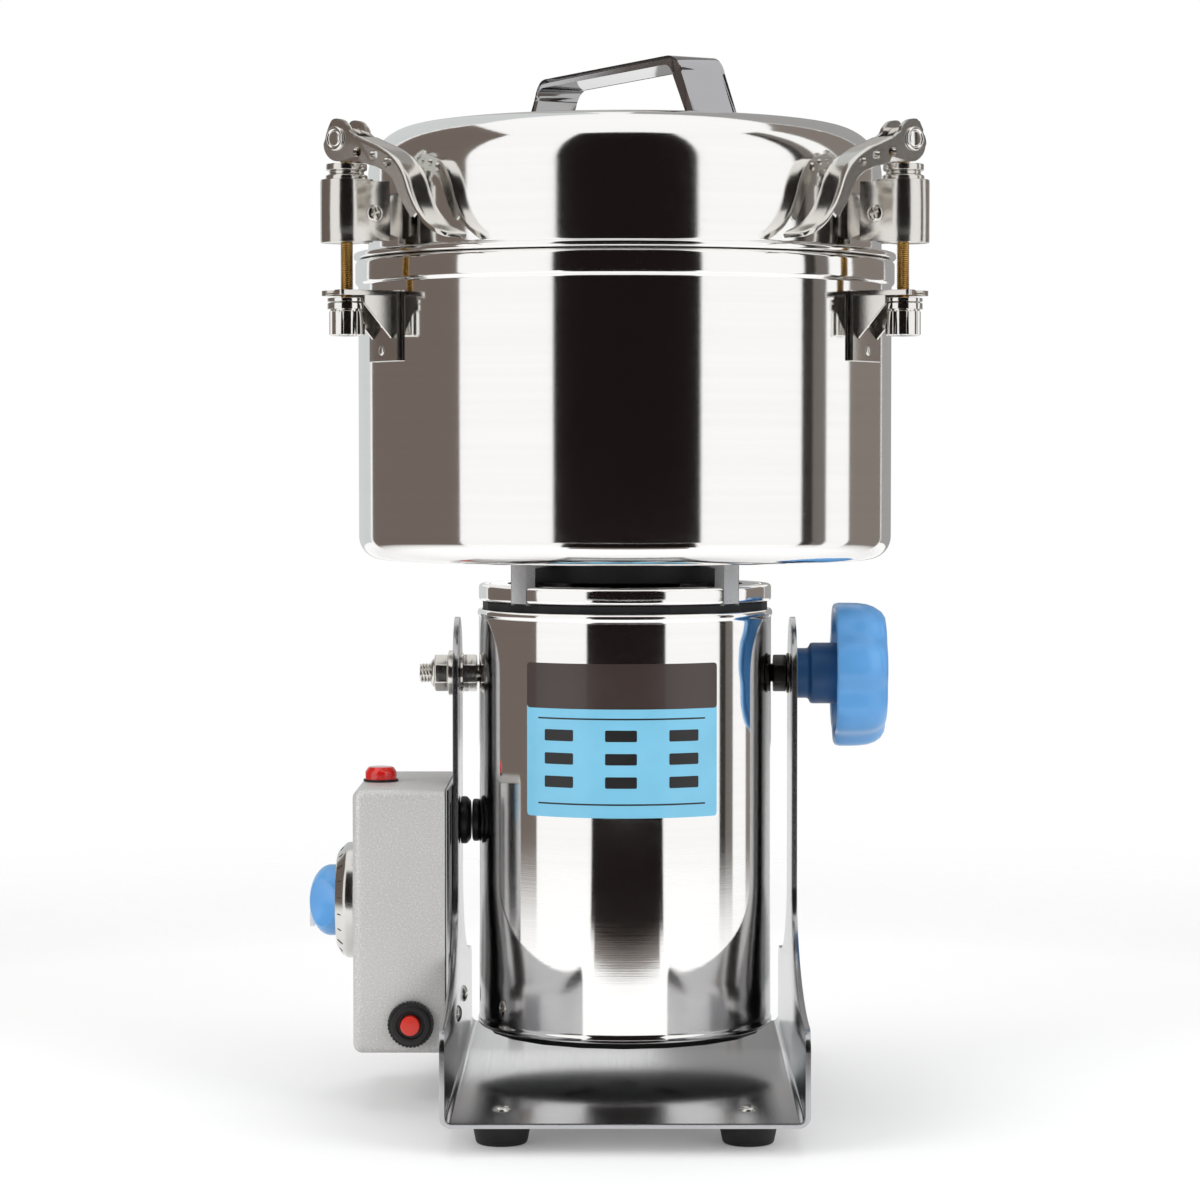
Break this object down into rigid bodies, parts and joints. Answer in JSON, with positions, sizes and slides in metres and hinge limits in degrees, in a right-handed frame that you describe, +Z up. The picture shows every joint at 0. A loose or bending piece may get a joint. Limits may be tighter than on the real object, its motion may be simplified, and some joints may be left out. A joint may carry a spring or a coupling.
{
  "type": "electric grain mill",
  "caption": "Swing-type electric grain mill: a lidded steel bowl with cam clamps over a vertical motor, tilting between the arms of a sheet steel stand with a timer box.",
  "frame": {"origin": "centre of the whole object's box, on the floor under the feet", "axes": "+Z up, +X towards the tilt lock knob, +Y towards the back; the control box is at -X"},
  "size_m": [0.2425, 0.2644, 0.4096],
  "materials": {
    "polished_steel": "polished stainless steel",
    "pressed_steel": "pressed stainless steel, satin",
    "stand_steel": "stainless sheet, fine brushed",
    "dark_steel": "blackened steel",
    "iron_core": "laminated iron core",
    "cast_alloy": "cast alloy",
    "grey_casting": "light grey casting",
    "yellow_plating": "yellow plated rod",
    "bright_plating": "bright plated",
    "black_plastic": "black moulded plastic",
    "black_metal": "black painted cover",
    "black_casting": "black casting",
    "rubber": "black rubber",
    "silicone": "pale silicone",
    "blue_plastic": "blue moulded plastic",
    "silver_paint": "silver speckled paint",
    "red_lens": "clear red lens",
    "red_plastic": "red moulded plastic"
  },
  "bodies": {
    "stand": {"stand_bracket": "stand_steel", "foot_front_left": "rubber", "foot_front_right": "rubber", "foot_back_left": "rubber", "foot_back_right": "rubber", "control_box": "silver_paint", "control_box_cover": "stand_steel", "timer_switch": "pressed_steel", "indicator_lamp": "red_lens", "overload_breaker": "black_plastic", "cord_gland": "black_plastic", "arm_lead_gland": "black_plastic"},
    "timer_knob": {"timer_knob": "blue_plastic"},
    "reset_button": {"reset_button": "red_plastic"},
    "mill": {"motor_shell": "polished_steel", "motor_bottom_cover": "black_metal", "motor_top_bracket": "black_casting", "vent_ring": "polished_steel", "bowl_post_1": "grey_casting", "bowl_post_2": "grey_casting", "bowl_post_3": "grey_casting", "bowl_post_4": "grey_casting", "hub_plate": "black_casting", "stator": "iron_core", "upper_bearing": "pressed_steel", "lower_bearing": "pressed_steel", "brush_yoke": "black_plastic", "pivot_bolt": "dark_steel", "pivot_lock_nut": "pressed_steel", "lock_stud": "dark_steel", "motor_lead_gland": "black_plastic", "bowl": "polished_steel", "clamp_clip_left": "pressed_steel", "clamp_clip_right": "pressed_steel", "clamp_clip_back": "pressed_steel", "shaft_seal": "rubber"},
    "lock_knob": {"tilt_lock_knob": "blue_plastic"},
    "rotor": {"armature": "iron_core", "cooling_fan": "cast_alloy", "lower_blade": "pressed_steel", "upper_blade": "pressed_steel", "blade_nut": "pressed_steel"},
    "lid": {"lid": "polished_steel", "lid_gasket": "silicone", "lid_handle": "polished_steel"},
    "clamp_sleeve_left": {"clamp_sleeve_left": "pressed_steel"},
    "clamp_rod_left": {"clamp_rod_left": "yellow_plating"},
    "cam_lever_left": {"cam_lever_left": "pressed_steel"},
    "nut_washer_left": {"nut_washer_left": "bright_plating"},
    "thumb_nut_left": {"thumb_nut_left": "bright_plating"},
    "clamp_sleeve_right": {"clamp_sleeve_right": "pressed_steel"},
    "clamp_rod_right": {"clamp_rod_right": "yellow_plating"},
    "cam_lever_right": {"cam_lever_right": "pressed_steel"},
    "nut_washer_right": {"nut_washer_right": "bright_plating"},
    "thumb_nut_right": {"thumb_nut_right": "bright_plating"},
    "clamp_sleeve_back": {"clamp_sleeve_back": "pressed_steel"},
    "clamp_rod_back": {"clamp_rod_back": "yellow_plating"},
    "cam_lever_back": {"cam_lever_back": "pressed_steel"},
    "nut_washer_back": {"nut_washer_back": "bright_plating"},
    "thumb_nut_back": {"thumb_nut_back": "bright_plating"}
  },
  "joints": [
    {"name": "tilt", "type": "hinge", "parent": "stand", "child": "mill", "pos_m": [0.00488, -0.00025, 0.169], "axis": [1, 0, 0], "range_deg": [-45, 90]},
    {"name": "lock_knob_turn", "type": "hinge", "parent": "mill", "child": "lock_knob", "pos_m": [0.09788, -0.00025, 0.169], "axis": [1, 0, 0], "range_deg": [0, 270]},
    {"name": "timer_turn", "type": "hinge", "parent": "stand", "child": "timer_knob", "pos_m": [-0.11512, -0.00025, 0.0778], "axis": [1, 0, 0], "range_deg": [0, 270]},
    {"name": "reset_press", "type": "slide", "parent": "stand", "child": "reset_button", "axis": [0, 1, 0], "range_m": [0, 0.002], "stiffness_N_per_m": 1200},
    {"name": "rotor_spin", "type": "hinge", "parent": "mill", "child": "rotor", "pos_m": [0.00488, -0.00025, 0.228], "axis": [0, 0, 1], "continuous": true},
    {"name": "lid_lift", "type": "slide", "parent": "mill", "child": "lid", "axis": [0, 0, 1], "range_m": [0, 0.12]},
    {"name": "lever_left_turn", "type": "hinge", "parent": "clamp_rod_left", "child": "cam_lever_left", "pos_m": [-0.10121, -0.0615, 0.3763], "axis": [-0.6293, -0.7771, 0], "range_deg": [0, 120]},
    {"name": "rod_left_drop", "type": "slide", "parent": "clamp_sleeve_left", "child": "clamp_rod_left", "axis": [0, 0, -1], "range_m": [0, 0.0035]},
    {"name": "sleeve_left_swing", "type": "hinge", "parent": "lid", "child": "clamp_sleeve_left", "pos_m": [-0.09514, -0.058, 0.348], "axis": [-0.5, 0.866, 0], "range_deg": [0, 26.5]},
    {"name": "washer_left_swing", "type": "hinge", "parent": "mill", "child": "nut_washer_left", "pos_m": [-0.1017, -0.06178, 0.34925], "axis": [-0.5, 0.866, 0], "range_deg": [0, 26.5]},
    {"name": "thumb_nut_left_turn", "type": "hinge", "parent": "nut_washer_left", "child": "thumb_nut_left", "pos_m": [-0.10121, -0.0615, 0.308], "axis": [0, 0, 1], "continuous": true},
    {"name": "lever_right_turn", "type": "hinge", "parent": "clamp_rod_right", "child": "cam_lever_right", "pos_m": [0.11097, -0.0615, 0.3763], "axis": [-0.6293, 0.7771, 0], "range_deg": [0, 120]},
    {"name": "rod_right_drop", "type": "slide", "parent": "clamp_sleeve_right", "child": "clamp_rod_right", "axis": [0, 0, -1], "range_m": [0, 0.0035]},
    {"name": "sleeve_right_swing", "type": "hinge", "parent": "lid", "child": "clamp_sleeve_right", "pos_m": [0.10491, -0.058, 0.348], "axis": [-0.5, -0.866, 0], "range_deg": [0, 26.5]},
    {"name": "washer_right_swing", "type": "hinge", "parent": "mill", "child": "nut_washer_right", "pos_m": [0.11146, -0.06178, 0.34925], "axis": [-0.5, -0.866, 0], "range_deg": [0, 26.5]},
    {"name": "thumb_nut_right_turn", "type": "hinge", "parent": "nut_washer_right", "child": "thumb_nut_right", "pos_m": [0.11097, -0.0615, 0.308], "axis": [0, 0, 1], "continuous": true},
    {"name": "lever_back_turn", "type": "hinge", "parent": "clamp_rod_back", "child": "cam_lever_back", "pos_m": [0.00488, 0.12225, 0.3763], "axis": [-0.3584, 0.9336, 0], "range_deg": [0, 120]},
    {"name": "rod_back_drop", "type": "slide", "parent": "clamp_sleeve_back", "child": "clamp_rod_back", "axis": [0, 0, -1], "range_m": [0, 0.0035]},
    {"name": "sleeve_back_swing", "type": "hinge", "parent": "lid", "child": "clamp_sleeve_back", "pos_m": [0.00488, 0.11525, 0.348], "axis": [1, 0, 0], "range_deg": [0, 26.5]},
    {"name": "washer_back_swing", "type": "hinge", "parent": "mill", "child": "nut_washer_back", "pos_m": [0.00488, 0.12282, 0.34925], "axis": [1, 0, 0], "range_deg": [0, 26.5]},
    {"name": "thumb_nut_back_turn", "type": "hinge", "parent": "nut_washer_back", "child": "thumb_nut_back", "pos_m": [0.00488, 0.12225, 0.308], "axis": [0, 0, 1], "continuous": true}
  ],
  "couplings": [
    {"joint": "rod_left_drop", "follows": "lever_left_turn", "m_per_rad": 0.0016711},
    {"joint": "sleeve_left_swing", "follows": "lever_left_turn", "ratio": 0.22083},
    {"joint": "washer_left_swing", "follows": "lever_left_turn", "ratio": 0.22083},
    {"joint": "rod_right_drop", "follows": "lever_right_turn", "m_per_rad": 0.0016711},
    {"joint": "sleeve_right_swing", "follows": "lever_right_turn", "ratio": 0.22083},
    {"joint": "washer_right_swing", "follows": "lever_right_turn", "ratio": 0.22083},
    {"joint": "rod_back_drop", "follows": "lever_back_turn", "m_per_rad": 0.0016711},
    {"joint": "sleeve_back_swing", "follows": "lever_back_turn", "ratio": 0.22083},
    {"joint": "washer_back_swing", "follows": "lever_back_turn", "ratio": 0.22083}
  ]
}
